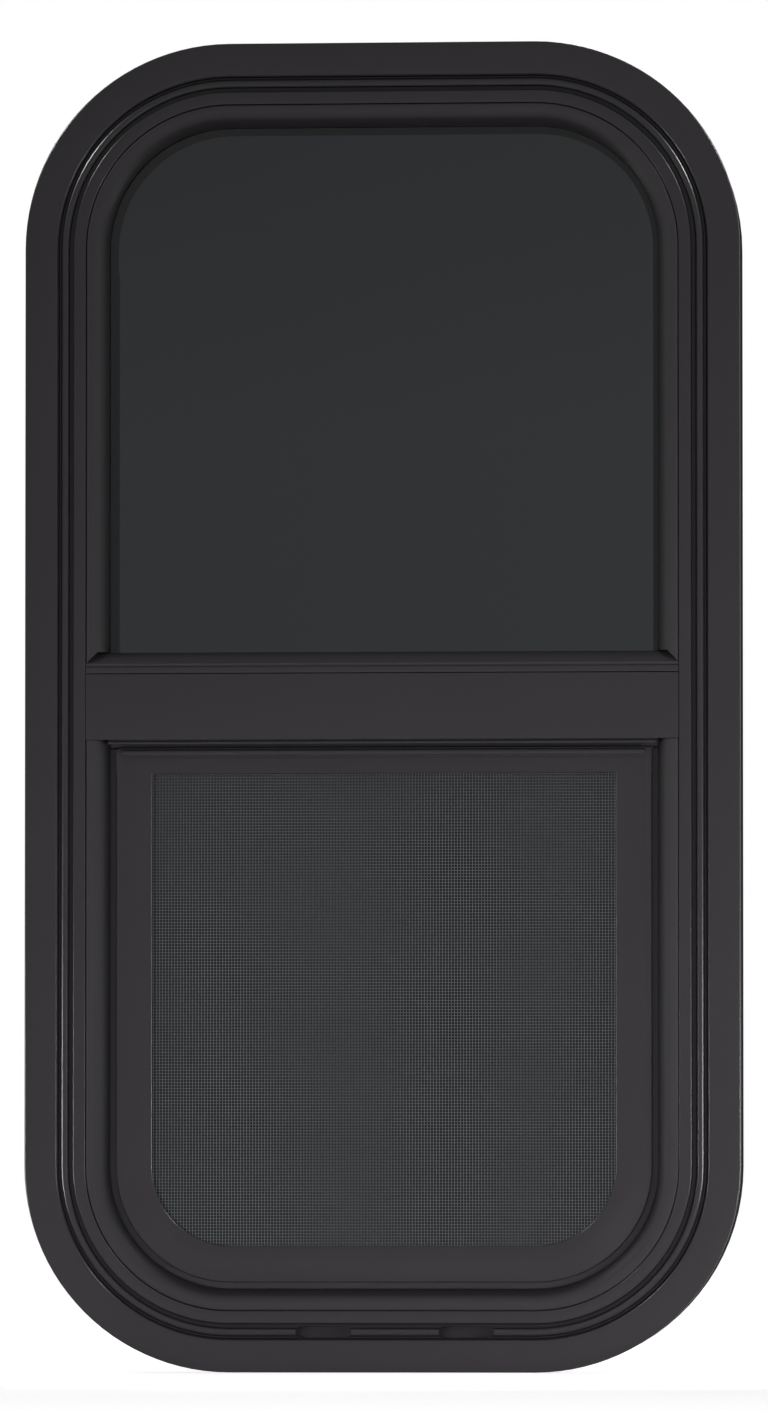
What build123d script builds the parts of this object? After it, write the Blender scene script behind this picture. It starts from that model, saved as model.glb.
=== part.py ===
from build123d import *
import os

# A vertical sliding window for a camper wall, in millimetres.
# The outside faces -Y and +Z is up. The origin is on the back face of the outside flange,
# at the middle of its bottom edge, so y = 0 is the outer skin of the wall.
# An inset is a distance from the flange's outer edge towards the middle of the window.

# Whole window
overall_width = 356.0
overall_height = 660.0
outer_corner_radius = 102.0
wall_thickness = 38.0
clearance = 0.2

# Outer frame: a bent hollow extrusion with its flange on the outside of the wall
frame_metal = 1.6
flange_width = 16.0
flange_thickness = 2.0
flange_edge_bevel = 0.8
groove_depth = 2.4
bead_inset = 18.2
bead_width = 3.6
bead_height = 2.75
bead_bevel = 1.2
land_inset = 24.2
land_width = 6.2
land_height = 1.0
land_edge_bevel = 0.5
reveal_depth = 11.4
track_width = 7.4
rib_reach = 13.6
screw_groove_width = 3.0
screw_groove_height = 5.8
screw_inset = 23.5

# Weep slots in the bottom of the frame
slot_length = 27.5
slot_width = 5.8
slot_left = -29.0
slot_right = 42.0

# Glass and its seals
glass_thickness = 4.0
pane_edge_inset = 36.0
seal_width = 10.8
seal_bevel = 5.5
seal_crown = 2.4
seal_lip = 1.0
seal_lip_reach = 7.0

# Middle rail and the bead that holds the pane down to it
rail_height = 32.8
rail_metal = 1.5
rail_edge_round = 0.6
rail_lip_drop = 2.2
rail_lip_setback = 1.6
rail_upstand = 11.0
screen_stop_drop = 3.6
screen_stop_depth = 2.4
pane_lift = 2.2
sill_bead_height = 10.5
sill_bead_flat = 3.2
sill_bead_groove = 0.8
sill_slope_depth = 5.6
mitre_angle = 45.0

# Fly screen in front of the lower half
screen_gap = 3.2
screen_bar = 18.0
screen_top_bar = 12.0
screen_thickness = 5.1
screen_flange_reach = 8.5
screen_flange_thickness = 1.9
screen_front_lip = 0.7
screen_edge_bevel = 0.35
screen_rabbet = 3.0
ridge_height = 3.3
ridge_reach = 1.5
ridge_round = 1.5
ridge_groove = 0.6
mesh_thickness = 0.4
mesh_tuck = 2.5
spline_size = 2.6

# Sliding sash behind the screen
sash_overlap = 22.4
sash_edge_gap = 0.5
sash_side_gap = 0.3
channel_wall = 1.2
channel_reach = 12.4
sash_rail_wall = 1.2
sash_rail_grip = 14.0
sash_rail_cap = 1.8
sash_rail_side_gap = 1.5
pull_end_gap = 17.5
pull_reach = 11.0
pull_turn = 5.0
pull_edge_round = 0.7
pile_height = 6.0

# Latches at both ends of the sash rail
latch_length = 36.0
latch_depth = 9.0
latch_height = 12.0
latch_end_gap = 4.0
latch_bevel = 1.5
bolt_size = 5.0
bolt_gap = 0.3
bolt_throw = 7.0
bolt_tail = 26.0
bolt_lead = 1.5
thumb_width = 7.0
thumb_reach = 3.5
thumb_travel = 8.0
thumb_bevel = 0.8
strip_width = 8.0
strip_depth = 8.0
strip_end_gap = 10.0
strip_hole_margin = 13.0
strip_holes = 3

# Clamp ring on the inside of the wall
ring_inset = 1.0
ring_thickness = 1.8
ring_edge_bevel = 0.8
ring_lip_inset = 32.4
ring_lip_gap = 0.3
ring_hole_diameter = 4.2
ring_end_margin = 21.0
ring_side_margin = 18.0
ring_side_holes = 4

# Depths worked out from the sizes above, measured along Y
flange_front = -flange_thickness
groove_floor = flange_front + groove_depth
land_face = flange_front - land_height
seal_face = land_face + clearance
pane_face = land_face + reveal_depth
pane_back = pane_face + glass_thickness
rib_front = pane_back + seal_lip + 2 * clearance
rib_back = rib_front + frame_metal
track_back = rib_back + track_width
frame_back = track_back + frame_metal
sash_face = (rib_back + track_back - glass_thickness) / 2
sash_back = sash_face + glass_thickness
screen_face = pane_face
screen_back = screen_face + screen_thickness
ring_face = wall_thickness + ring_thickness

# Insets worked out from the sizes above
seat_inset = land_inset + land_width
seal_inset = seat_inset + clearance
seal_tip = seal_inset + seal_width
rib_tip = seat_inset + rib_reach
screen_inset = seal_tip + screen_gap
mesh_opening = screen_inset + screen_bar
channel_inset = seat_inset + clearance
sash_inset = channel_inset + channel_wall + sash_edge_gap

# Heights worked out from the sizes above
middle_height = overall_height / 2
straight_top = overall_height - outer_corner_radius
rail_bottom = middle_height - rail_height / 2
rail_top = rail_bottom + rail_height
sash_top = rail_bottom + sash_overlap
pane_bottom = rail_top + pane_lift
lower_stop = rail_bottom - rail_lip_drop
screen_top = lower_stop - rail_lip_drop
half_width = overall_width / 2


def face_plane(depth):
    # A plane parallel to the wall at this depth, seen from outside, centred on the window
    return Plane(origin=(0, depth, middle_height), x_dir=(1, 0, 0), z_dir=(0, -1, 0))


def level_plane(height):
    # A level plane, for cutting the round-cornered pieces at the middle rail
    return Plane(origin=(0, 0, height), x_dir=(1, 0, 0), z_dir=(0, 0, 1))


def outline(inset, mode=Mode.ADD):
    # The window's round-cornered outline, drawn this far inside the flange's edge
    width = overall_width - 2 * inset
    height = overall_height - 2 * inset
    return RectangleRounded(width, height, outer_corner_radius - inset, mode=mode)


def plate(inset, front, back):
    # A round-cornered sheet between two depths
    with BuildPart() as sheet:
        with BuildSketch(face_plane(back)):
            outline(inset)
        extrude(amount=back - front)
    return sheet.part


def band(outer_inset, inner_inset, front, back, bevel=0.0):
    # A round-cornered ring between two insets and two depths, with its front edges bevelled
    with BuildPart() as ring:
        with BuildSketch(face_plane(back)):
            outline(outer_inset)
            outline(inner_inset, mode=Mode.SUBTRACT)
        extrude(amount=back - front)
        if bevel:
            chamfer(ring.faces().sort_by(Axis.Y)[0].edges(), bevel)
    return ring.part


def seal_face_band(back):
    # The part of a seal that shows: a ring whose front falls away in two steps towards the glass
    with BuildPart() as ring:
        add(band(seal_inset, seal_tip, seal_face, back))
        chamfer(ring.faces().sort_by(Axis.Y)[0].inner_wires()[0].edges(), seal_bevel)
        chamfer(ring.faces().sort_by(Axis.Y)[0].inner_wires()[0].edges(), seal_crown)
    return ring.part


os.makedirs("parts", exist_ok=True)

# Outer frame: flange, grooved bead and land on the outside, a hollow body through the wall,
# two ribs that make the sash track, and a screw groove at the back
bead_front = groove_floor - bead_height
bead_tip = bead_inset + bead_width
web_back = groove_floor + frame_metal
hole_overlap = flange_width - frame_metal
groove_low = screw_inset - screw_groove_width / 2
groove_high = screw_inset + screw_groove_width / 2
screw_groove_back = frame_back + screw_groove_height
slot_height = bead_inset + bead_width / 2 - middle_height
with BuildPart() as outer_frame:
    add(band(0, flange_width, flange_front, 0, flange_edge_bevel))
    add(band(hole_overlap, flange_width, 0, frame_back))
    add(band(hole_overlap, seat_inset, groove_floor, web_back))
    add(band(bead_inset, bead_tip, bead_front, web_back, bead_bevel))
    add(band(land_inset, seat_inset, land_face, web_back, land_edge_bevel))
    add(band(seat_inset - frame_metal, seat_inset, web_back, frame_back))
    add(band(seat_inset - frame_metal, rib_tip, rib_front, rib_back))
    add(band(hole_overlap, rib_tip, track_back, frame_back))
    add(band(groove_low - frame_metal, groove_low, frame_back, screw_groove_back))
    add(band(groove_high, groove_high + frame_metal, frame_back, screw_groove_back))
    with BuildSketch(face_plane(web_back)):
        with Locations((slot_left, slot_height), (slot_right, slot_height)):
            SlotOverall(slot_length, slot_width)
    extrude(amount=web_back - bead_front, mode=Mode.SUBTRACT)
outer_frame.part.label = "outer_frame"
export_step(outer_frame.part, "parts/outer_frame.step")

# Bead along the foot of the fixed pane, mitred into the glazing seal at both ends
bead_base = rail_top + clearance
bead_top = bead_base + sill_bead_height
bead_step = bead_base + sill_bead_flat
slope_foot = bead_step + 2 * sill_bead_groove
slope_height = bead_top - slope_foot
slope_front = land_face + sill_bead_groove / 2
bead_half = half_width - seal_inset
with BuildPart() as sill_bead:
    with BuildSketch(Plane.YZ):
        with BuildLine():
            Polyline(
                (pane_face - clearance, bead_base),
                (land_face, bead_base),
                (land_face, bead_step),
                (land_face + sill_bead_groove, bead_step),
                (land_face + sill_bead_groove, bead_step + sill_bead_groove),
                (slope_front, slope_foot),
                (slope_front + sill_slope_depth, bead_top),
                (pane_face - clearance, bead_top),
                close=True,
            )
        make_face()
    extrude(amount=bead_half, both=True)
    with BuildSketch(face_plane(pane_face)):
        with Locations((0, slope_foot + slope_height / 2 - middle_height)):
            Trapezoid(2 * bead_half, slope_height, mitre_angle)
        with Locations((0, (bead_base + slope_foot) / 2 - middle_height)):
            Rectangle(2 * bead_half, slope_foot - bead_base)
    extrude(amount=pane_face - land_face, mode=Mode.INTERSECT)
sill_bead.part.label = "sill_bead"
export_step(sill_bead.part, "parts/sill_bead.step")

# Glazing seal round the fixed pane: a rounded face outside, a pocket for the glass edge
# and a lip behind the glass
pocket_inset = pane_edge_inset - clearance
lip_tip = pocket_inset + seal_lip_reach
with BuildPart() as upper_glazing_seal:
    add(seal_face_band(pane_face - clearance))
    add(band(seal_inset, pocket_inset, pane_face - clearance, pane_back + clearance))
    add(band(seal_inset, lip_tip, pane_back + clearance, rib_front - clearance))
    split(bisect_by=level_plane(bead_base), keep=Keep.TOP)
    with BuildSketch(face_plane(pane_face - clearance)):
        with Locations((0, slope_foot + (slope_height + clearance) / 2 - middle_height)):
            Trapezoid(2 * bead_half + 2 * clearance, slope_height + clearance, mitre_angle)
        with Locations((0, (bead_base + slope_foot) / 2 - middle_height)):
            Rectangle(2 * bead_half + 2 * clearance, slope_foot - bead_base)
    extrude(amount=pane_face - land_face, mode=Mode.SUBTRACT)
upper_glazing_seal.part.label = "upper_glazing_seal"
export_step(upper_glazing_seal.part, "parts/upper_glazing_seal.step")

# Rounded seal that surrounds the fly screen below the middle rail
flange_top_depth = screen_back - screen_flange_thickness
screen_flange_inset = screen_inset - screen_flange_reach
with BuildPart() as screen_surround_seal:
    add(seal_face_band(flange_top_depth - clearance))
    add(band(seal_inset, screen_flange_inset - clearance, flange_top_depth - clearance, rib_front - clearance))
    split(bisect_by=level_plane(rail_bottom - clearance), keep=Keep.BOTTOM)
screen_surround_seal.part.label = "screen_surround_seal"
export_step(screen_surround_seal.part, "parts/screen_surround_seal.step")

# Fixed pane in the upper half
with BuildPart() as fixed_pane:
    add(plate(pane_edge_inset, pane_face, pane_back))
    split(bisect_by=level_plane(pane_bottom), keep=Keep.TOP)
fixed_pane.part.label = "fixed_pane"
export_step(fixed_pane.part, "parts/fixed_pane.step")

# Middle rail: a hollow box with a drip lip and a stop for the screen below, and an upstand
# behind the pane
rail_back = rib_front - clearance
rail_depth = rail_back - land_face
rail_middle = (land_face + rail_back) / 2
lip_front = land_face + rail_lip_setback
upstand_half = half_width - rib_tip - clearance
with BuildPart() as mid_rail:
    with BuildSketch(Plane.YZ) as rail_section:
        with Locations((rail_middle, rail_bottom + rail_height / 2)):
            Rectangle(rail_depth, rail_height)
            Rectangle(rail_depth - 2 * rail_metal, rail_height - 2 * rail_metal, mode=Mode.SUBTRACT)
        fillet(rail_section.vertices().group_by(Axis.X)[0], rail_edge_round)
    extrude(amount=half_width - seal_inset, both=True)
    with BuildSketch(Plane.YZ):
        with Locations((lip_front + rail_metal / 2, rail_bottom - rail_lip_drop / 2)):
            Rectangle(rail_metal, rail_lip_drop)
        with Locations((screen_back - screen_stop_depth / 2, rail_bottom - screen_stop_drop / 2)):
            Rectangle(screen_stop_depth, screen_stop_drop)
    extrude(amount=half_width - seal_tip - clearance, both=True)
    with BuildSketch(Plane.YZ):
        with Locations((rail_back - seal_lip / 2, rail_top + rail_upstand / 2)):
            Rectangle(seal_lip, rail_upstand)
    extrude(amount=upstand_half, both=True)
mid_rail.part.label = "mid_rail"
export_step(mid_rail.part, "parts/mid_rail.step")

# Fly screen frame: flat bars with a rolled ridge along the top, a thin flange that slips
# under the surround, and a rabbet at the back for the mesh and its spline
screen_half = half_width - screen_inset
opening_top = screen_top - screen_top_bar
rabbet_inset = mesh_opening - screen_rabbet
rabbet_front = screen_face + screen_front_lip
ridge_bottom = screen_top - ridge_height
bar_middle = (screen_top + opening_top) / 2 - middle_height
with BuildPart() as screen_frame:
    add(band(screen_inset, mesh_opening, screen_face, screen_back, screen_edge_bevel))
    add(band(screen_flange_inset, screen_inset, flange_top_depth, screen_back))
    with BuildSketch(face_plane(screen_back)):
        with Locations((0, bar_middle)):
            Rectangle(2 * screen_half, screen_top_bar)
    extrude(amount=screen_thickness)
    split(bisect_by=level_plane(screen_top), keep=Keep.BOTTOM)
    with BuildSketch(face_plane(screen_back)):
        outline(rabbet_inset)
        with Locations((0, opening_top + screen_rabbet - middle_height)):
            Rectangle(overall_width, overall_height, align=(Align.CENTER, Align.MIN), mode=Mode.SUBTRACT)
    extrude(amount=screen_back - rabbet_front, mode=Mode.SUBTRACT)
    with BuildSketch(Plane.YZ):
        with Locations((screen_face - ridge_reach / 2, screen_top - ridge_height / 2)):
            RectangleRounded(ridge_reach + ridge_height, ridge_height, ridge_round)
    extrude(amount=screen_half - ridge_height, both=True)
    with BuildSketch(Plane.YZ):
        with Locations((screen_face, ridge_bottom - ridge_groove)):
            Rectangle(ridge_groove, ridge_groove)
    extrude(amount=screen_half - ridge_height, both=True, mode=Mode.SUBTRACT)
screen_frame.part.label = "screen_frame"
export_step(screen_frame.part, "parts/screen_frame.step")

# Woven mesh, as the thin sheet that it fills
mesh_front = rabbet_front + clearance
mesh_back = mesh_front + mesh_thickness
with BuildPart() as screen_mesh:
    add(plate(mesh_opening - mesh_tuck, mesh_front, mesh_back))
    split(bisect_by=level_plane(opening_top + mesh_tuck), keep=Keep.BOTTOM)
screen_mesh.part.label = "screen_mesh"
export_step(screen_mesh.part, "parts/screen_mesh.step")

# Rubber spline that presses the mesh into the rabbet from behind
spline_front = mesh_back + clearance
spline_inset = rabbet_inset + clearance
spline_top = opening_top + screen_rabbet - clearance
with BuildPart() as screen_spline:
    add(band(spline_inset, spline_inset + spline_size, spline_front, spline_front + spline_size))
    with BuildSketch(face_plane(spline_front + spline_size)):
        with Locations((0, spline_top - spline_size / 2 - middle_height)):
            Rectangle(overall_width - 2 * spline_inset, spline_size)
    extrude(amount=spline_size)
    split(bisect_by=level_plane(spline_top), keep=Keep.BOTTOM)
screen_spline.part.label = "screen_spline"
export_step(screen_spline.part, "parts/screen_spline.step")

# Lined channel in the track that the sash runs in, open at the top
channel_front = sash_face - sash_side_gap - channel_wall
channel_back = sash_back + sash_side_gap + channel_wall
channel_tip = channel_inset + channel_reach
with BuildPart() as sash_run_channel:
    add(band(channel_inset, channel_inset + channel_wall, channel_front, channel_back))
    add(band(channel_inset, channel_tip, channel_front, channel_front + channel_wall))
    add(band(channel_inset, channel_tip, channel_back - channel_wall, channel_back))
    split(bisect_by=level_plane(straight_top), keep=Keep.BOTTOM)
sash_run_channel.part.label = "sash_run_channel"
export_step(sash_run_channel.part, "parts/sash_run_channel.step")

# Sliding glass, with round bottom corners that follow the frame
with BuildPart() as sash_glass:
    add(plate(sash_inset, sash_face, sash_back))
    split(bisect_by=level_plane(sash_top), keep=Keep.BOTTOM)
sash_glass.part.label = "sash_glass"
export_step(sash_glass.part, "parts/sash_glass.step")

# Rail along the top of the sash: a channel over the glass edge with a pull in the middle
grip_front = sash_face - clearance
grip_back = sash_back + clearance
sash_rail_front = grip_front - sash_rail_wall
sash_rail_back = grip_back + sash_rail_wall
sash_rail_bottom = sash_top - sash_rail_grip
sash_rail_top = sash_top + clearance + sash_rail_cap
sash_rail_half = half_width - rib_tip - sash_rail_side_gap
pull_half = sash_rail_half - latch_end_gap - latch_length - pull_end_gap
with BuildPart() as sash_rail:
    with BuildSketch(Plane.YZ) as grip_section:
        with Locations(((sash_rail_front + sash_rail_back) / 2, (sash_rail_bottom + sash_rail_top) / 2)):
            Rectangle(sash_rail_back - sash_rail_front, sash_rail_top - sash_rail_bottom)
        with Locations(((grip_front + grip_back) / 2, sash_top + clearance - sash_rail_grip / 2)):
            Rectangle(grip_back - grip_front, sash_rail_grip + 2 * clearance, mode=Mode.SUBTRACT)
    extrude(amount=sash_rail_half, both=True)
    with BuildSketch(Plane.YZ) as pull_section:
        with Locations((sash_rail_back + pull_reach / 2, sash_rail_top - sash_rail_cap / 2)):
            Rectangle(pull_reach, sash_rail_cap)
        with Locations((sash_rail_back + pull_reach - sash_rail_cap / 2, sash_rail_top - pull_turn / 2)):
            Rectangle(sash_rail_cap, pull_turn)
        fillet(pull_section.vertices().group_by(Axis.X)[-1], pull_edge_round)
    extrude(amount=pull_half, both=True)
sash_rail.part.label = "sash_rail"
export_step(sash_rail.part, "parts/sash_rail.step")

# Pile strip that closes the gap between the middle rail and the sash rail
with BuildPart() as meeting_pile:
    with BuildSketch(Plane.YZ):
        with Locations(((rail_back + sash_rail_front) / 2, (sash_rail_bottom + sash_rail_top) / 2)):
            Rectangle(sash_rail_front - rail_back - 2 * clearance, pile_height)
    extrude(amount=upstand_half - sash_rail_side_gap, both=True)
meeting_pile.part.label = "meeting_pile"
export_step(meeting_pile.part, "parts/meeting_pile.step")

# Latches: a body on each end of the sash rail, a bolt with a thumb piece, and a strip of
# keeper holes beside it for the closed, half open and open sash
latch_front = sash_rail_back + clearance
latch_back = latch_front + latch_depth
latch_outer = sash_rail_half - latch_end_gap
latch_middle = latch_outer - latch_length / 2
bolt_depth = latch_front + latch_depth / 2
bolt_height = (sash_rail_bottom + sash_rail_top) / 2
bolt_end = half_width - rib_tip + bolt_throw
bolt_start = bolt_end - bolt_tail - bolt_throw
bolt_way = bolt_size + 2 * bolt_gap
thumb_depth = latch_back + thumb_reach - bolt_depth
strip_front = frame_back + clearance
strip_middle = half_width - rib_tip + clearance + strip_width / 2
strip_bottom = sash_rail_bottom
strip_top = straight_top - strip_end_gap
strip_hole_pitch = (strip_top - strip_hole_margin - bolt_height) / (strip_holes - 1)
for side, sign in (("left", -1), ("right", 1)):
    with BuildPart() as latch_body:
        with BuildSketch(Plane.YZ.offset(sign * latch_middle)) as body_section:
            with Locations((bolt_depth, bolt_height)):
                Rectangle(latch_depth, latch_height)
            chamfer(body_section.vertices().group_by(Axis.X)[-1], latch_bevel)
            with Locations((bolt_depth, bolt_height)):
                Rectangle(bolt_way, bolt_way, mode=Mode.SUBTRACT)
        extrude(amount=latch_length / 2, both=True)
        with Locations((sign * latch_middle, latch_back, bolt_height)):
            Box(thumb_width + thumb_travel, latch_depth, bolt_way, mode=Mode.SUBTRACT)
    latch_body.part.label = f"latch_body_{side}"
    export_step(latch_body.part, f"parts/latch_body_{side}.step")

    with BuildPart() as latch_bolt:
        with BuildSketch(Plane.YZ.offset(sign * bolt_start)):
            with Locations((bolt_depth, bolt_height)):
                Rectangle(bolt_size, bolt_size)
        extrude(amount=sign * (bolt_end - bolt_start))
        bolt_tip = (sign * bolt_end, bolt_depth, bolt_height)
        chamfer(latch_bolt.faces().sort_by_distance(bolt_tip)[0].edges(), bolt_lead)
        with Locations((sign * latch_middle, bolt_depth + thumb_depth / 2, bolt_height)):
            Box(thumb_width, thumb_depth, bolt_size)
        chamfer(latch_bolt.faces().sort_by(Axis.Y)[-1].edges(), thumb_bevel)
    latch_bolt.part.label = f"latch_bolt_{side}"
    export_step(latch_bolt.part, f"parts/latch_bolt_{side}.step")

    with BuildPart() as latch_strip:
        with Locations((sign * strip_middle, strip_front + strip_depth / 2, (strip_bottom + strip_top) / 2)):
            Box(strip_width, strip_depth, strip_top - strip_bottom)
        for step in range(strip_holes):
            with Locations((sign * strip_middle, bolt_depth, bolt_height + step * strip_hole_pitch)):
                Box(strip_width, bolt_way, bolt_way, mode=Mode.SUBTRACT)
    latch_strip.part.label = f"latch_strip_{side}"
    export_step(latch_strip.part, f"parts/latch_strip_{side}.step")

# Clamp ring: a flat flange on the inside of the wall, a lip down to the frame and screw
# holes over the frame's screw groove
ring_tip = ring_lip_inset + ring_thickness
end_hole_spacing = overall_width - 2 * (outer_corner_radius + ring_end_margin)
side_hole_run = overall_height - 2 * (outer_corner_radius + ring_side_margin)
with BuildPart() as clamp_ring:
    add(band(ring_inset, ring_tip, wall_thickness, ring_face))
    add(band(ring_lip_inset, ring_tip, frame_back + ring_lip_gap, wall_thickness))
    chamfer(clamp_ring.faces().sort_by(Axis.Y)[-1].edges(), ring_edge_bevel)
    with BuildSketch(face_plane(ring_face)):
        with GridLocations(end_hole_spacing, overall_height - 2 * screw_inset, 2, 2):
            Circle(ring_hole_diameter / 2)
        side_pitch = side_hole_run / (ring_side_holes - 1)
        with GridLocations(overall_width - 2 * screw_inset, side_pitch, 2, ring_side_holes):
            Circle(ring_hole_diameter / 2)
    extrude(amount=ring_thickness, mode=Mode.SUBTRACT)
clamp_ring.part.label = "clamp_ring"
export_step(clamp_ring.part, "parts/clamp_ring.step")
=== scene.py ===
import math
import bmesh
import bpy
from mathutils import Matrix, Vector


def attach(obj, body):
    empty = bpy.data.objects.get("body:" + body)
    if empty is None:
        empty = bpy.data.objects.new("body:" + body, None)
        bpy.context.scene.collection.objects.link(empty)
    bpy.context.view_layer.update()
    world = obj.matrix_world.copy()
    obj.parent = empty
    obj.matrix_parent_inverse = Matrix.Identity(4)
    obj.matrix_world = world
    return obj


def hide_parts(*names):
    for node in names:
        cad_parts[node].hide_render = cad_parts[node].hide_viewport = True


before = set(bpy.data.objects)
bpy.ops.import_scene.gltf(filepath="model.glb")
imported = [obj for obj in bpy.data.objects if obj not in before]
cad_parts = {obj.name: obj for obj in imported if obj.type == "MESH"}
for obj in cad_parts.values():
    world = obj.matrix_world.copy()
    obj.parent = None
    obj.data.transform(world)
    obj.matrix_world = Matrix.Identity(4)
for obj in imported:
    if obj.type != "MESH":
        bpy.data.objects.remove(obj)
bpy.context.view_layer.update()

mm = 0.001  # pieces are written in millimetres, lamps and camera in metres
mergeGap = 0.002 * mm
sameSpot = 0.001 * mm
print("frame loaded with", len(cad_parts), "nodes")

window = {"width": 356, "height": 660, "corner": 102, "cornerSteps": 26, "smooth": 32}
endRun = window["width"] / 2 - window["corner"]  # half of the straight top or bottom run
lowCorner = window["corner"]
highCorner = window["height"] - window["corner"]


def deselectAll():
    if bpy.context.object and bpy.context.object.mode != "OBJECT":
        bpy.ops.object.mode_set(mode="OBJECT")
    bpy.ops.object.select_all(action="DESELECT")


def editPiece(piece):
    deselectAll()
    piece.select_set(True)
    bpy.context.view_layer.objects.active = piece
    bpy.ops.object.mode_set(mode="EDIT")
    bpy.ops.mesh.select_mode(type="VERT")
    bpy.ops.mesh.select_all(action="SELECT")


def pickCorners(piece, places):  # selects the corners that lie at some places, in edit mode
    bpy.ops.mesh.select_all(action="DESELECT")
    mesh = bmesh.from_edit_mesh(piece.data)
    for corner in mesh.verts:
        if any((corner.co - place).length < sameSpot for place in places):
            corner.select_set(True)
    mesh.select_flush_mode()
    bmesh.update_edit_mesh(piece.data)


def closeMesh():  # joins what meets and turns the faces outwards
    bpy.ops.mesh.select_mode(type="VERT")
    bpy.ops.mesh.select_all(action="SELECT")
    bpy.ops.mesh.remove_doubles(threshold=mergeGap)
    bpy.ops.mesh.normals_make_consistent(inside=False)
    bpy.ops.object.mode_set(mode="OBJECT")


def smooth(piece, angle=window["smooth"]):
    deselectAll()
    piece.select_set(True)
    bpy.context.view_layer.objects.active = piece
    bpy.ops.object.shade_smooth_by_angle(angle=math.radians(angle))


def applyModifier(piece, kind, settings):
    deselectAll()
    piece.select_set(True)
    bpy.context.view_layer.objects.active = piece
    modifier = piece.modifiers.new(kind.lower(), kind)
    for name, value in settings.items():
        setattr(modifier, name, value)
    bpy.ops.object.modifier_apply(modifier=modifier.name)


def cutAway(piece, cutter):
    applyModifier(piece, "BOOLEAN", {"operation": "DIFFERENCE", "object": cutter, "solver": "EXACT"})
    bpy.data.objects.remove(cutter)


# how finely a section's corner is rounded: up to which radius, in how many steps
arcs = {"fine": (0.45, 3), "middle": (1.2, 5), "broad": (20.0, 12)}


def arcSteps(rounding):
    return next(steps for largest, steps in arcs.values() if rounding < largest)


def drawSection(name, corners, spot):  # pulls one corner round the outline of a section, then rounds it
    deselectAll()
    bpy.ops.mesh.primitive_plane_add(size=mm)
    piece = bpy.context.object
    piece.name = piece.data.name = name
    bpy.ops.object.mode_set(mode="EDIT")
    bpy.ops.mesh.select_mode(type="VERT")
    bpy.ops.mesh.select_all(action="SELECT")
    bpy.ops.mesh.merge(type="CENTER")
    spots = [spot(depth, inset) for depth, inset, rounding in corners]
    bpy.ops.transform.translate(value=spots[0])
    for before, after in zip(spots, spots[1:]):
        bpy.ops.mesh.extrude_vertices_move(TRANSFORM_OT_translate={"value": after - before})
    bpy.ops.mesh.select_all(action="SELECT")
    bpy.ops.mesh.edge_face_add()
    for size in sorted({corner[2] for corner in corners if corner[2]}):
        pickCorners(piece, [place for place, corner in zip(spots, corners) if corner[2] == size])
        bpy.ops.mesh.bevel(offset=size * mm, segments=arcSteps(size), affect="VERTICES")
    bpy.ops.mesh.select_all(action="SELECT")
    return piece


def run(across, up):
    return ("run", Vector((across, 0, up)) * mm)


def turn(across, up):
    return ("turn", Vector((across, 0, up)) * mm)


def sweep(moves):  # carries the selected section along straight runs and round corners
    for kind, value in moves:
        if kind == "run":
            bpy.ops.mesh.extrude_region_move(TRANSFORM_OT_translate={"value": value})
        else:
            bpy.ops.mesh.spin(steps=window["cornerSteps"], angle=math.pi / 2, center=value, axis=(0, 1, 0))


def ringPiece(name, corners):  # all round the window, closed on itself
    piece = drawSection(name, corners, lambda depth, inset: Vector((0, depth, inset)) * mm)
    bpy.ops.mesh.delete(type="ONLY_FACE")
    bpy.ops.mesh.select_all(action="SELECT")
    side = highCorner - lowCorner
    sweep([
        run(endRun, 0), turn(endRun, lowCorner), run(0, side), turn(endRun, highCorner),
        run(-2 * endRun, 0), turn(-endRun, highCorner), run(0, -side), turn(-endRun, lowCorner),
        run(endRun, 0),
    ])
    closeMesh()
    smooth(piece)
    return piece


def lowerPiece(name, corners, top):  # from the left end down, along the bottom and up to the right end
    half = window["width"] / 2
    piece = drawSection(name, corners, lambda depth, inset: Vector((inset - half, depth, top)) * mm)
    sweep([
        run(0, lowCorner - top), turn(-endRun, lowCorner), run(2 * endRun, 0),
        turn(endRun, lowCorner), run(0, top - lowCorner),
    ])
    closeMesh()
    return piece


def upperPiece(name, corners, bottom):  # from the right end up, along the top and down to the left end
    half = window["width"] / 2
    piece = drawSection(name, corners, lambda depth, inset: Vector((half - inset, depth, bottom)) * mm)
    sweep([
        run(0, highCorner - bottom), turn(endRun, highCorner), run(-2 * endRun, 0),
        turn(-endRun, highCorner), run(0, bottom - highCorner),
    ])
    closeMesh()
    return piece


def levelPiece(name, corners, half):  # a straight bar across the window, drawn as depth and height
    piece = drawSection(name, corners, lambda depth, height: Vector((-half, depth, height)) * mm)
    sweep([run(2 * half, 0)])
    closeMesh()
    return piece


def slicePiece(piece, spot, normal):  # takes away what lies beyond a plane and closes the cut
    editPiece(piece)
    bpy.ops.mesh.bisect(plane_co=Vector(spot) * mm, plane_no=normal, use_fill=True, clear_outer=True)
    bpy.ops.object.mode_set(mode="OBJECT")


# flat faces within an angle are joined, edges past an angle are eased, and the shading stays below
# the easing's own steps, so that flat faces stay flat (all in degrees)
easing = {"flatWithin": 0.6, "edgeFrom": 40, "steps": 2, "smooth": 20}


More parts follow.
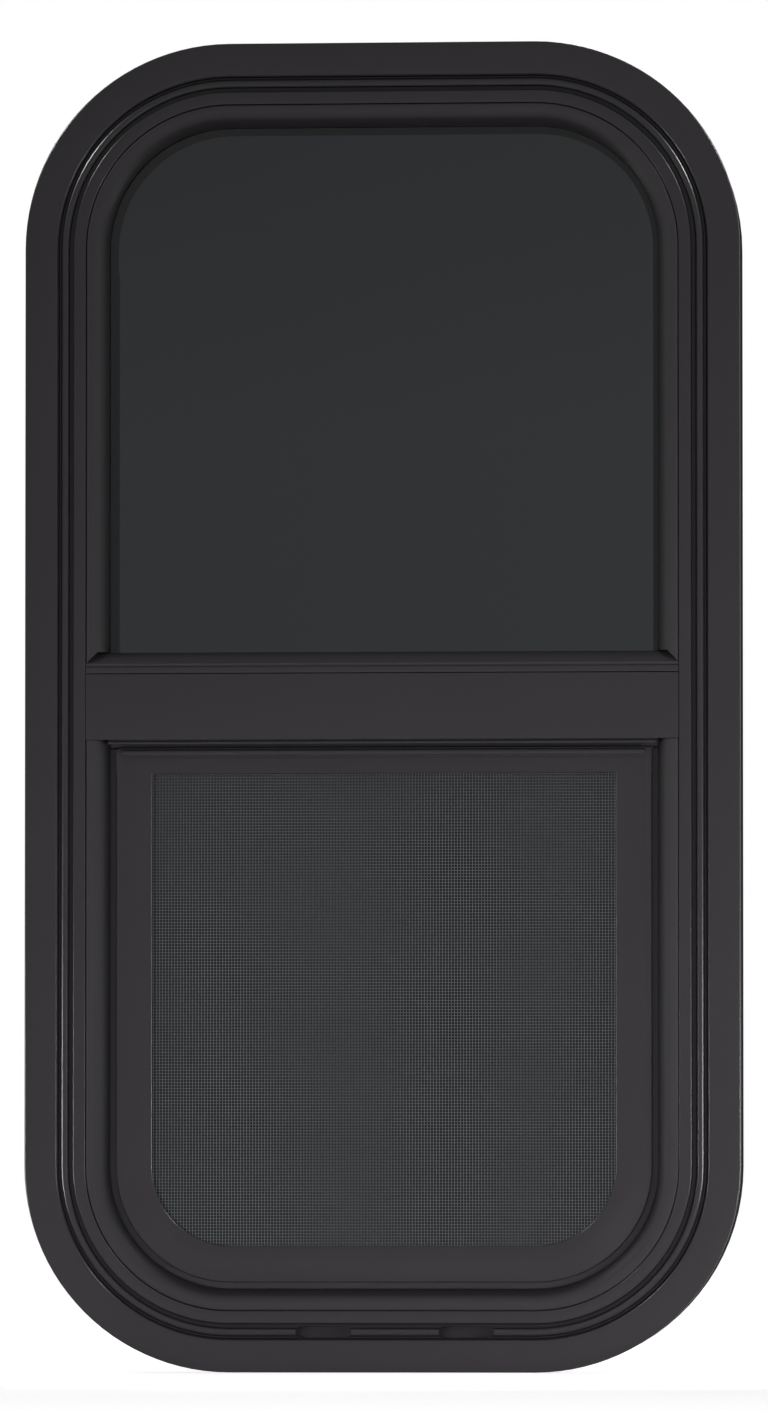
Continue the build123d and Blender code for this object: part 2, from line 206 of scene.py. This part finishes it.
def softenNode(node, name, width):  # a merged copy of a solid with its edges eased
    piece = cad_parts[node].copy()
    piece.data = piece.data.copy()
    piece.name = piece.data.name = name
    piece.parent = None
    for key in list(piece.keys()):
        del piece[key]
    bpy.context.scene.collection.objects.link(piece)
    editPiece(piece)
    bpy.ops.mesh.remove_doubles(threshold=mergeGap)
    bpy.ops.mesh.dissolve_limited(angle_limit=math.radians(easing["flatWithin"]))
    bpy.ops.object.mode_set(mode="OBJECT")
    applyModifier(piece, "BEVEL", {
        "width": width * mm, "segments": easing["steps"],
        "limit_method": "ANGLE", "angle_limit": math.radians(easing["edgeFrom"]),
    })
    smooth(piece, easing["smooth"])
    return piece


def settle(piece, finish, slot, *nodes):  # gives a piece its finish and its place on the window
    piece.data.materials.clear()
    piece.data.materials.append(finish)
    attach(piece, "root")
    if nodes:
        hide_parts(*nodes)


class Link:
    # one socket of a shader, so that sums and products can be written plainly
    def __init__(self, socket):
        self.socket = socket
        self.tree = socket.id_data

    def node(self, kind, settings, values, out=0):
        made = self.tree.nodes.new(kind)
        for name, value in settings.items():
            setattr(made, name, value)
        for name, value in values.items():
            if isinstance(value, Link):
                self.tree.links.new(value.socket, made.inputs[name])
            else:
                made.inputs[name].default_value = value
        return Link(made.outputs[out])

    def sum(self, operation, first, second):
        return self.node("ShaderNodeMath", {"operation": operation}, {0: first, 1: second})

    def __add__(self, other):
        return self.sum("ADD", self, other)

    __radd__ = __add__

    def __sub__(self, other):
        return self.sum("SUBTRACT", self, other)

    def __rsub__(self, other):
        return self.sum("SUBTRACT", other, self)

    def __mul__(self, other):
        return self.sum("MULTIPLY", self, other)

    __rmul__ = __mul__


def newFinish(name, constants):
    material = bpy.data.materials.new(name)
    material.use_nodes = True
    tree = material.node_tree
    surface = tree.nodes["Principled BSDF"]
    for socket, value in constants.items():
        surface.inputs[socket].default_value = value
    place = Link(tree.nodes.new("ShaderNodeTexCoord").outputs["Object"])
    return material, surface, place


def noise(place, scale, detail):
    return place.node("ShaderNodeTexNoise", {}, {"Vector": place, "Scale": scale, "Detail": detail})


def colour(value):
    return value if isinstance(value, Link) else (*value, 1)


def blend(amount, one, two):
    values = {"Factor": amount, 6: colour(one), 7: colour(two)}
    return amount.node("ShaderNodeMix", {"data_type": "RGBA"}, values, out=2)


def feed(surface, socket, link):
    surface.id_data.links.new(link.socket, surface.inputs[socket])


def bump(place, height, depth):
    return place.node("ShaderNodeBump", {}, {"Height": height, "Distance": depth * mm})


def along(place, axis):
    return place.node("ShaderNodeSeparateXYZ", {}, {"Vector": place}, out=axis)


def depthOf(place):  # how far in from the wall's skin, in millimetres
    return along(place, "Y") * (1 / mm)


def clamped(link):
    return link.sum("MINIMUM", link.sum("MAXIMUM", link, 0), 1)


powder = {
    "dark": (0.0200, 0.0178, 0.0203), "light": (0.0242, 0.0217, 0.0246), "shine": 0.14,
    "clouds": 14, "cloudShare": 0.7, "grain": 2600, "grainShare": 0.3, "grainDepth": 0.004,
    "rough": 0.20, "roughClouds": 0.06, "roughGrain": 0.05,
    # painted shade: the outside grooves grow darker between two depths, at these rates
    "groove": (0.0070, 0.0064, 0.0072), "grooveFrom": -1.3, "grooveRise": 0.7,
    "grooveTo": 6, "grooveFall": 0.3,
}


def powderCoat(name, grooved):  # satin black with a fine grain, with painted shade at the foot of the outside grooves
    material, surface, place = newFinish(name, {"Specular IOR Level": powder["shine"], "IOR": 1.5})
    cloud = noise(place, powder["clouds"], 3)
    grain = noise(place, powder["grain"], 3)
    patches = cloud * powder["cloudShare"] + grain * powder["grainShare"]
    coat = blend(patches, powder["dark"], powder["light"])
    # painted shade in the outside grooves, darkest at their foot
    if grooved:
        depth = depthOf(place)
        entered = clamped((depth - powder["grooveFrom"]) * powder["grooveRise"])
        grooveShade = entered * clamped((powder["grooveTo"] - depth) * powder["grooveFall"])
        coat = blend(grooveShade, coat, powder["groove"])
    feed(surface, "Base Color", coat)
    uneven = cloud * powder["roughClouds"] + grain * powder["roughGrain"]
    feed(surface, "Roughness", powder["rough"] + uneven)
    feed(surface, "Normal", bump(place, grain, powder["grainDepth"]))
    return material


rubber = {
    # deep is painted shade for the seal's walls, front is the rubber's own colour
    "deep": (0.0068, 0.0060, 0.0069), "front": (0.0290, 0.0260, 0.0292), "shine": 0.07,
    "clouds": 20, "grain": 1800, "grainDepth": 0.01, "rough": 0.46, "roughClouds": 0.1, "roughGrain": 0.05,
    "frontFrom": -0.6, "frontRise": 0.5, "frontShare": 0.9, "frontClouds": 0.2,
}


def blackRubber():  # paler on its face, with painted shade deep down its walls
    material, surface, place = newFinish("blackRubber", {"Specular IOR Level": rubber["shine"], "IOR": 1.5})
    cloud = noise(place, rubber["clouds"], 3)
    grain = noise(place, rubber["grain"], 2)
    # painted shade: the rubber darkens from its face down into its walls
    front = clamped((rubber["frontFrom"] - depthOf(place)) * rubber["frontRise"])
    front = front * (rubber["frontShare"] + cloud * rubber["frontClouds"])
    feed(surface, "Base Color", blend(front, rubber["deep"], rubber["front"]))
    uneven = cloud * rubber["roughClouds"] + grain * rubber["roughGrain"]
    feed(surface, "Roughness", rubber["rough"] + uneven)
    feed(surface, "Normal", bump(place, grain, rubber["grainDepth"]))
    return material


# painted reflection: the glass grows paler downwards from a height over a length, both in metres, and to the
# right
tint = {
    "high": (0.0085, 0.0102, 0.0118), "low": (0.0158, 0.0180, 0.0202), "from": 0.62, "over": 0.16,
    "downShare": 0.8, "aside": 1.4, "clouds": 6, "cloudShare": 0.1, "film": 45, "filmRough": 0.03, "bend": 1.3,
}


def tintedGlass():
    material, surface, place = newFinish("tintedGlass", {"IOR": tint["bend"], "Transmission Weight": 1.0})
    # painted reflection, paler low down and to the right
    fall = (tint["from"] - along(place, "Z")) * (1 / tint["over"])
    fall = fall + noise(place, tint["clouds"], 2) * tint["cloudShare"]
    fall = clamped(fall) * tint["downShare"] + along(place, "X") * tint["aside"]
    feed(surface, "Base Color", blend(fall, tint["high"], tint["low"]))
    feed(surface, "Roughness", noise(place, tint["film"], 4) * tint["filmRough"])
    return material


wire = {
    "dark": (0.0255, 0.0246, 0.0264), "light": (0.0387, 0.0378, 0.0396), "shine": 0.35,
    "patches": 900, "rough": 0.42, "roughPatches": 0.15,
}


def wireCoat():
    material, surface, place = newFinish("wireCoat", {"Specular IOR Level": wire["shine"]})
    patches = noise(place, wire["patches"], 2)
    feed(surface, "Base Color", blend(patches, wire["dark"], wire["light"]))
    feed(surface, "Roughness", wire["rough"] + patches * wire["roughPatches"])
    return material


moulding = {
    "dark": (0.014, 0.014, 0.0148), "light": (0.021, 0.021, 0.022), "shine": 0.35,
    "clouds": 30, "grain": 1500, "grainDepth": 0.02, "rough": 0.48, "roughGrain": 0.12,
}


def mouldedPlastic():
    material, surface, place = newFinish("blackPlastic", {"Specular IOR Level": moulding["shine"]})
    grain = noise(place, moulding["grain"], 2)
    cloud = noise(place, moulding["clouds"], 2)
    feed(surface, "Base Color", blend(cloud, moulding["dark"], moulding["light"]))
    feed(surface, "Roughness", moulding["rough"] + grain * moulding["roughGrain"])
    feed(surface, "Normal", bump(place, grain, moulding["grainDepth"]))
    return material


pileYarn = {
    "dark": (0.006, 0.006, 0.0065), "light": (0.026, 0.026, 0.027), "shine": 0.1,
    "fibres": 3200, "stretch": (1.0, 1.0, 0.12), "depth": 0.15, "rough": 0.85, "roughFibres": 0.1,
}


def wovenPile():
    material, surface, place = newFinish("blackPile", {"Specular IOR Level": pileYarn["shine"]})
    stretched = place.node("ShaderNodeMapping", {}, {"Vector": place, "Scale": pileYarn["stretch"]})
    fibres = noise(stretched, pileYarn["fibres"], 2)
    feed(surface, "Base Color", blend(fibres, pileYarn["dark"], pileYarn["light"]))
    feed(surface, "Roughness", pileYarn["rough"] + fibres * pileYarn["roughFibres"])
    feed(surface, "Normal", bump(place, fibres, pileYarn["depth"]))
    return material


screwSteel = {
    "dark": (0.018, 0.018, 0.019), "light": (0.045, 0.045, 0.047), "wear": 700,
    "metal": 0.6, "metalWear": 0.3, "rough": 0.32, "roughWear": 0.2,
}


def blackenedSteel():
    material, surface, place = newFinish("blackenedSteel", {})
    worn = noise(place, screwSteel["wear"], 3)
    feed(surface, "Base Color", blend(worn, screwSteel["dark"], screwSteel["light"]))
    feed(surface, "Metallic", screwSteel["metal"] + worn * screwSteel["metalWear"])
    feed(surface, "Roughness", screwSteel["rough"] + worn * screwSteel["roughWear"])
    return material


screwFinish = blackenedSteel()
frameFinish = powderCoat("blackFrame", True)
barFinish = powderCoat("blackBars", False)
rubberFinish = blackRubber()
glassFinish = tintedGlass()
wireFinish = wireCoat()
plasticFinish = mouldedPlastic()
pileFinish = wovenPile()
print("finishes ready")


outerFrame = {
    # depth from the wall's skin, inset from the outer edge, rounding
    "section": [
        (0, 0, 0.3), (-2.0, 0, 0.9), (-2.0, 15.8, 0.4), (0.4, 16.9, 0.3), (0.4, 18.0, 0.3),
        (-2.35, 18.3, 1.6), (-2.35, 21.7, 1.6), (0.4, 21.95, 0.3), (0.4, 24.1, 0.3),
        (-3.0, 24.35, 0.5), (-3.0, 30.4, 0.4), (13.8, 30.4, 0), (13.8, 44.0, 0.4), (15.4, 44.0, 0.4),
        (15.4, 30.4, 0), (22.8, 30.4, 0), (22.8, 44.0, 0.4), (24.4, 44.0, 0.4), (24.4, 26.6, 0),
        (30.2, 26.6, 0.3), (30.2, 25.0, 0.3), (24.4, 25.0, 0), (24.4, 22.0, 0), (30.2, 22.0, 0.3),
        (30.2, 20.4, 0.3), (24.4, 20.4, 0), (24.4, 14.4, 0.4), (0, 14.4, 0),
    ],
    "slots": (-29.0, 42.0), "slotHeight": 20.0, "slotLength": 27.5, "slotWidth": 5.8, "slotEnds": 0.46,
    "slotSteps": 8, "slotFront": -6.0, "slotDepth": 20.0,
}


def weepCutter(across):  # a long hole with round ends
    deselectAll()
    start = Vector((across, outerFrame["slotFront"], outerFrame["slotHeight"])) * mm
    bpy.ops.mesh.primitive_plane_add(size=mm, location=start)
    cutter = bpy.context.object
    bpy.ops.object.mode_set(mode="EDIT")
    bpy.ops.mesh.select_all(action="SELECT")
    bpy.ops.transform.resize(value=(outerFrame["slotLength"], outerFrame["slotWidth"], 1))
    ends = outerFrame["slotWidth"] * outerFrame["slotEnds"] * mm
    bpy.ops.mesh.bevel(offset=ends, segments=outerFrame["slotSteps"], affect="VERTICES")
    bpy.ops.mesh.select_all(action="SELECT")
    bpy.ops.transform.rotate(value=math.pi / 2, orient_axis="X", center_override=cutter.location)
    through = (outerFrame["slotDepth"] - outerFrame["slotFront"]) * mm
    bpy.ops.mesh.extrude_region_move(TRANSFORM_OT_translate={"value": (0, through, 0)})
    closeMesh()
    return cutter


outerFramePiece = ringPiece("outerFrame", outerFrame["section"])
for across in outerFrame["slots"]:
    cutAway(outerFramePiece, weepCutter(across))
smooth(outerFramePiece)
settle(outerFramePiece, frameFinish, "black_frame", "outer_frame")
print("outer frame drawn")


sealNose = [(-2.5, 30.75, 0.4), (-2.8, 31.7, 0), (-2.8, 41.4, 9.2)]  # depth, inset and rounding
sealSmooth = 28
upperSeal = {
    "section": sealNose + [
        (8.2, 41.4, 0.35), (8.2, 35.8, 0), (12.6, 35.8, 0), (12.6, 42.8, 0.4), (13.6, 42.8, 0.4),
        (13.6, 30.6, 0),
    ],
    "bottom": 346.6,
    # across and height of what the sill bead takes out of the seal's two ends
    "sillPlace": [
        (-147.6, 340.0, 0), (147.6, 340.0, 0), (147.6, 351.4, 0), (141.7, 357.3, 0), (-141.7, 357.3, 0),
        (-147.6, 351.4, 0),
    ],
    "sillFront": -6.0, "sillDepth": 14.2,
}
lowerSeal = {
    "section": sealNose + [(11.4, 41.4, 0.35), (11.4, 35.9, 0), (13.6, 35.9, 0.3), (13.6, 30.6, 0)],
    "top": 313.4,
}
upperSealPiece = upperPiece("upperGlazingSeal", upperSeal["section"], upperSeal["bottom"])
sillCutter = drawSection(
    "sillCutter", upperSeal["sillPlace"],
    lambda across, height: Vector((across, upperSeal["sillFront"], height)) * mm,
)
bpy.ops.mesh.extrude_region_move(TRANSFORM_OT_translate={"value": (0, upperSeal["sillDepth"] * mm, 0)})
closeMesh()
cutAway(upperSealPiece, sillCutter)
smooth(upperSealPiece, sealSmooth)
settle(upperSealPiece, rubberFinish, "black_rubber", "upper_glazing_seal")
lowerSealPiece = lowerPiece("screenSurroundSeal", lowerSeal["section"], lowerSeal["top"])
smooth(lowerSealPiece, sealSmooth)
settle(lowerSealPiece, rubberFinish, "black_rubber", "screen_surround_seal")
print("seals drawn")


sillBead = {
    # depth, height and rounding
    "section": [
        (8.2, 346.6, 0), (-3.0, 346.6, 0.3), (-3.0, 349.8, 0.35), (-2.2, 349.8, 0.15), (-2.2, 350.7, 0.15),
        (-2.6, 351.4, 0.4), (3.0, 357.1, 0.8), (8.2, 357.1, 0),
    ],
    "half": 147.4, "slopeFoot": 351.4,
}
sillPiece = levelPiece("sillBead", sillBead["section"], sillBead["half"])
for sign in (-1, 1):
    slicePiece(sillPiece, (sign * sillBead["half"], 0, sillBead["slopeFoot"]), (sign, 0, 1))
smooth(sillPiece)
settle(sillPiece, barFinish, "black_frame", "sill_bead")

midRail = {
    "bars": (
        # section as depth, height and rounding, then half the length
        ([(-3.0, 313.6, 0.6), (-3.0, 346.4, 0.6), (13.6, 346.4, 0.3), (13.6, 313.6, 0.4)], 147.4),
        ([(12.6, 346.0, 0), (12.6, 357.4, 0.4), (13.6, 357.4, 0.4), (13.6, 346.0, 0)], 133.8),
        ([
            (0.1, 314.0, 0), (1.6, 314.0, 0), (1.6, 311.4, 0.3), (-1.4, 311.4, 0.4), (-1.4, 312.7, 0.4),
            (0.1, 312.7, 0),
        ], 136.4),
        ([(11.1, 314.0, 0), (13.5, 314.0, 0), (13.5, 310.0, 0.3), (11.1, 310.0, 0.3)], 136.4),
    ),
}
bars = [levelPiece("midRail", section, half) for section, half in midRail["bars"]]
railPiece = bars[0]
deselectAll()
for bar in bars:
    bar.select_set(True)
bpy.context.view_layer.objects.active = railPiece
bpy.ops.object.join()
smooth(railPiece)
settle(railPiece, barFinish, "black_frame", "mid_rail")
print("rail and sill drawn")


screen = {"ease": 0.15}
screenPiece = softenNode("screen_frame", "screenFrame", screen["ease"])
settle(screenPiece, barFinish, "black_frame", "screen_frame")

wires = {
    "pitch": 1.5, "thickness": 0.25, "sides": 6, "half": 117.6, "bottom": 60.4, "top": 299.6,
    "acrossDepth": 9.43, "upDepth": 9.57, "corner": 41.6, "cornerCuts": 9, "smooth": 70,
}


def wireRow(name, count, middle, length, turned, step):  # one wire, laid side by side
    deselectAll()
    bpy.ops.mesh.primitive_cylinder_add(
        vertices=wires["sides"], radius=wires["thickness"] / 2 * mm, depth=length * mm,
        end_fill_type="NOTHING", location=Vector(middle) * mm, rotation=(0, turned, 0),
    )
    row = bpy.context.object
    row.name = row.data.name = name
    bpy.ops.object.transform_apply(location=True, rotation=True, scale=True)
    applyModifier(row, "ARRAY", {
        "count": count, "use_relative_offset": False,
        "use_constant_offset": True, "constant_offset_displace": Vector(step) * mm,
    })
    return row


wireTall = wires["top"] - wires["bottom"]
wireMiddle = (wires["top"] + wires["bottom"]) / 2
upCount = int(2 * wires["half"] / wires["pitch"])
acrossCount = int(wireTall / wires["pitch"])
firstUp = -(upCount - 1) / 2 * wires["pitch"]
upRow = wireRow(
    "screenWires", upCount, (firstUp, wires["upDepth"], wireMiddle), wireTall, 0, (wires["pitch"], 0, 0),
)
acrossRow = wireRow(
    "screenWiresAcross", acrossCount, (0, wires["acrossDepth"], wires["bottom"] + wires["pitch"] / 2),
    2 * wires["half"], math.pi / 2, (0, 0, wires["pitch"]),
)
deselectAll()
acrossRow.select_set(True)
upRow.select_set(True)
bpy.context.view_layer.objects.active = upRow
bpy.ops.object.join()
for sign in (-1, 1):  # trims the rows to the frame's round bottom corners
    for cut in range(wires["cornerCuts"]):
        angle = math.pi / 2 * (cut + 0.5) / wires["cornerCuts"]
        out = Vector((sign * math.sin(angle), 0, -math.cos(angle)))
        centre = Vector((sign * (wires["half"] - wires["corner"]), 0, wires["bottom"] + wires["corner"]))
        editPiece(upRow)
        bpy.ops.mesh.bisect(plane_co=(centre + out * wires["corner"]) * mm, plane_no=out, clear_outer=True)
        bpy.ops.object.mode_set(mode="OBJECT")
smooth(upRow, wires["smooth"])
settle(upRow, wireFinish, "screen_mesh", "screen_mesh")
print("fly screen laid:", upCount, "by", acrossCount, "wires")


for node in ("fixed_pane", "sash_glass"):
    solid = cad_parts[node]
    solid.data.materials.clear()
    solid.data.materials.append(glassFinish)

inside = {}
for node, name, finish, slot, width in (  # the width is how far the edges are eased
    ("clamp_ring", "clampRing", barFinish, "black_frame", 0.3),
    ("screen_spline", "screenSpline", rubberFinish, "black_rubber", 0.8),
    ("sash_run_channel", "sashRunChannel", rubberFinish, "black_rubber", 0.2),
    ("sash_rail", "sashRail", barFinish, "black_frame", 0.25),
    ("meeting_pile", "meetingPile", pileFinish, "black_pile", 0.4),
    ("latch_body_left", "latchBodyLeft", plasticFinish, "black_plastic", 0.4),
    ("latch_body_right", "latchBodyRight", plasticFinish, "black_plastic", 0.4),
    ("latch_bolt_left", "latchBoltLeft", plasticFinish, "black_plastic", 0.25),
    ("latch_bolt_right", "latchBoltRight", plasticFinish, "black_plastic", 0.25),
    ("latch_strip_left", "latchStripLeft", plasticFinish, "black_plastic", 0.3),
    ("latch_strip_right", "latchStripRight", plasticFinish, "black_plastic", 0.3),
):
    inside[node] = softenNode(node, name, width)
    settle(inside[node], finish, slot, node)
print("inside pieces eased")

smallScrew = {"head": 2.2, "stem": 1.9, "deep": 0.8, "cross": 2.4, "crossWide": 0.6, "crossDeep": 0.5}
screws = {
    "sides": 24, "rim": 0.15, "rimSteps": 2,
    "sink": {"head": 3.8, "stem": 2.1, "deep": 1.7, "face": 39.81},
    "ring": {
        "head": 3.5, "stem": 1.9, "deep": 1.5, "cross": 3.6, "crossWide": 0.9, "crossDeep": 0.8, "face": 39.7,
    },
    "ringSpots": [(across, height) for across in (-55.0, 55.0) for height in (23.5, 636.5)]
    + [(across, height) for across in (-154.5, 154.5) for height in (120.0, 260.0, 400.0, 540.0)],
    "latch": {**smallScrew, "face": 32.4},
    "latchSpots": [(across, 330.0) for across in (-125.5, -95.5, 95.5, 125.5)],
    "strip": {**smallScrew, "face": 33.3},
    "stripSpots": [(across, height) for across in (-138.2, 138.2) for height in (380.0, 495.0)],
}


def turnedCone(size):  # a stub along the depth with its wide end towards the inside
    deselectAll()
    bpy.ops.mesh.primitive_cone_add(
        vertices=screws["sides"], radius1=size["stem"] * mm, radius2=size["head"] * mm,
        depth=size["deep"] * mm, location=(0, (size["face"] - size["deep"] / 2) * mm, 0),
        rotation=(-math.pi / 2, 0, 0),
    )
    bpy.ops.object.transform_apply(location=True, rotation=True, scale=True)
    return bpy.context.object


def oneScrew(size):  # a flat head with rounded rim and a cross cut into it
    screw = turnedCone(size)
    applyModifier(screw, "BEVEL", {
        "width": screws["rim"] * mm, "segments": screws["rimSteps"], "limit_method": "ANGLE",
    })
    for across, up in ((size["cross"], size["crossWide"]), (size["crossWide"], size["cross"])):
        bpy.ops.mesh.primitive_cube_add(
            size=mm, location=(0, size["face"] * mm, 0), scale=(across, 2 * size["crossDeep"], up),
        )
        cutAway(screw, bpy.context.object)
    return screw


def spread(first, spots, name):  # copies a finished thing to every spot and joins the copies
    copies = []
    for across, height in spots:
        copy = first.copy()
        copy.data = first.data.copy()
        bpy.context.scene.collection.objects.link(copy)
        copy.location = (across * mm, 0, height * mm)
        copies.append(copy)
    bpy.data.objects.remove(first)
    deselectAll()
    for copy in copies:
        copy.select_set(True)
    bpy.context.view_layer.objects.active = copies[0]
    bpy.ops.object.join()
    bpy.ops.object.transform_apply(location=True, rotation=True, scale=True)
    copies[0].name = copies[0].data.name = name
    return copies[0]


sinks = spread(turnedCone(screws["sink"]), screws["ringSpots"], "ringSinks")
cutAway(inside["clamp_ring"], sinks)
smooth(inside["clamp_ring"], easing["smooth"])
for kind, name in (("ring", "ringScrews"), ("latch", "latchScrews"), ("strip", "stripScrews")):
    heads = spread(oneScrew(screws[kind]), screws[kind + "Spots"], name)
    smooth(heads)
    settle(heads, screwFinish, "black_frame")
print("screws set")


studio = {
    "floorColour": (0.86, 0.86, 0.86), "floorHalf": 14, "floorDrop": 0.0002, "soft": 0.12,
    # how bright the floor looks near the window, and how it turns white with the square of the distance
    "floorNear": 0.74, "whiteFrom": 0.4, "whiteRise": 0.3,
    "aim": (0, 0, 0.33),
    "lamps": {
        # place, width, height, power, whether it makes the highlights or the soft light
        "lampMain": ((0.46, -0.52, 0.07), 0.40, 0.16, 3.5, False),
        "lampLowLeft": ((-0.36, -0.36, 0.05), 0.20, 0.08, 0.25, False),
        "lampBottom": ((0.0, -0.45, 0.030), 0.60, 0.03, 1.70, False),
        "lampHigh": ((0.30, -0.50, 1.00), 0.40, 0.10, 0.8, False),
        "lampBackLeft": ((-0.9, 1.2, 1.1), 0.60, 0.60, 7.0, False),
        "lampBackRight": ((0.8, 1.4, 0.5), 0.60, 0.60, 3.5, False),
        "lampSideLeft": ((-0.80, -0.22, 0.10), 0.16, 0.20, 9.0, True),
        "lampSideRight": ((0.80, -0.22, 0.10), 0.16, 0.20, 9.0, True),
        "lampTopLeft": ((-0.95, -0.36, 1.15), 0.16, 0.16, 24.0, True),
        "lampTopRight": ((0.95, -0.36, 1.15), 0.16, 0.16, 24.0, True),
        "lampBackTop": ((0.2, 0.8, 1.3), 0.30, 0.30, 6.0, True),
    },
}


def seenRays(tree):  # one for what the camera, gloss and glass see, nothing for the light that falls
    rays = tree.nodes.new("ShaderNodeLightPath")
    seen = Link(rays.outputs["Is Camera Ray"]) + Link(rays.outputs["Is Glossy Ray"])
    seen = seen + Link(rays.outputs["Is Transmission Ray"])
    return seen.sum("MINIMUM", seen, 1)


def layFloor():
    deselectAll()
    bpy.ops.mesh.primitive_plane_add(size=2 * studio["floorHalf"], location=(0, 0, -studio["floorDrop"]))
    floor = bpy.context.object
    floor.name = floor.data.name = "studioFloor"
    paper, surface, place = newFinish("studioPaper", {
        "Base Color": (*studio["floorColour"], 1), "Roughness": 0.95, "Specular IOR Level": 0.0,
        "Emission Strength": 1.0,
    })
    right, back = along(place, "X"), along(place, "Y")
    white = clamped((right * right + back * back - studio["whiteFrom"]) * studio["whiteRise"])
    glow = studio["floorNear"] + white * (1 - studio["floorNear"])
    feed(surface, "Emission Color", blend(seenRays(paper.node_tree) * glow, (0, 0, 0), (1, 1, 1)))
    floor.data.materials.append(paper)


layFloor()
world = bpy.data.worlds.new("studioWorld")
bpy.context.scene.world = world
world.use_nodes = True
sky = world.node_tree.nodes["Background"]
sky.inputs["Color"].default_value = (1, 1, 1, 1)
feed(sky, "Strength", studio["soft"] + seenRays(world.node_tree) * (1 - studio["soft"]))

for name, (place, wide, high, power, highlight) in studio["lamps"].items():
    bpy.ops.object.light_add(type="AREA", location=place)
    light = bpy.context.object
    light.name = name
    light.data.shape = "RECTANGLE"
    light.data.size = wide
    light.data.size_y = high
    light.data.energy = power
    light.visible_diffuse = not highlight
    light.visible_glossy = highlight
    light.visible_transmission = False
    light.visible_camera = False
    aim = Vector(studio["aim"]) - light.location
    light.rotation_euler = aim.to_track_quat("-Z", "Y").to_euler()

view = {"place": (0.523, -5.977, 0.06), "aim": (0.001, 0, 0.330), "tall": 0.700}
bpy.ops.object.camera_add(location=view["place"])
camera = bpy.context.object
sight = Vector(view["aim"]) - camera.location
camera.rotation_euler = sight.to_track_quat("-Z", "Y").to_euler()
camera.data.sensor_fit = "VERTICAL"
camera.data.angle = 2 * math.atan(view["tall"] / 2 / sight.length)
bpy.context.scene.camera = camera
bpy.context.scene.view_settings.view_transform = "Standard"
print("studio ready")
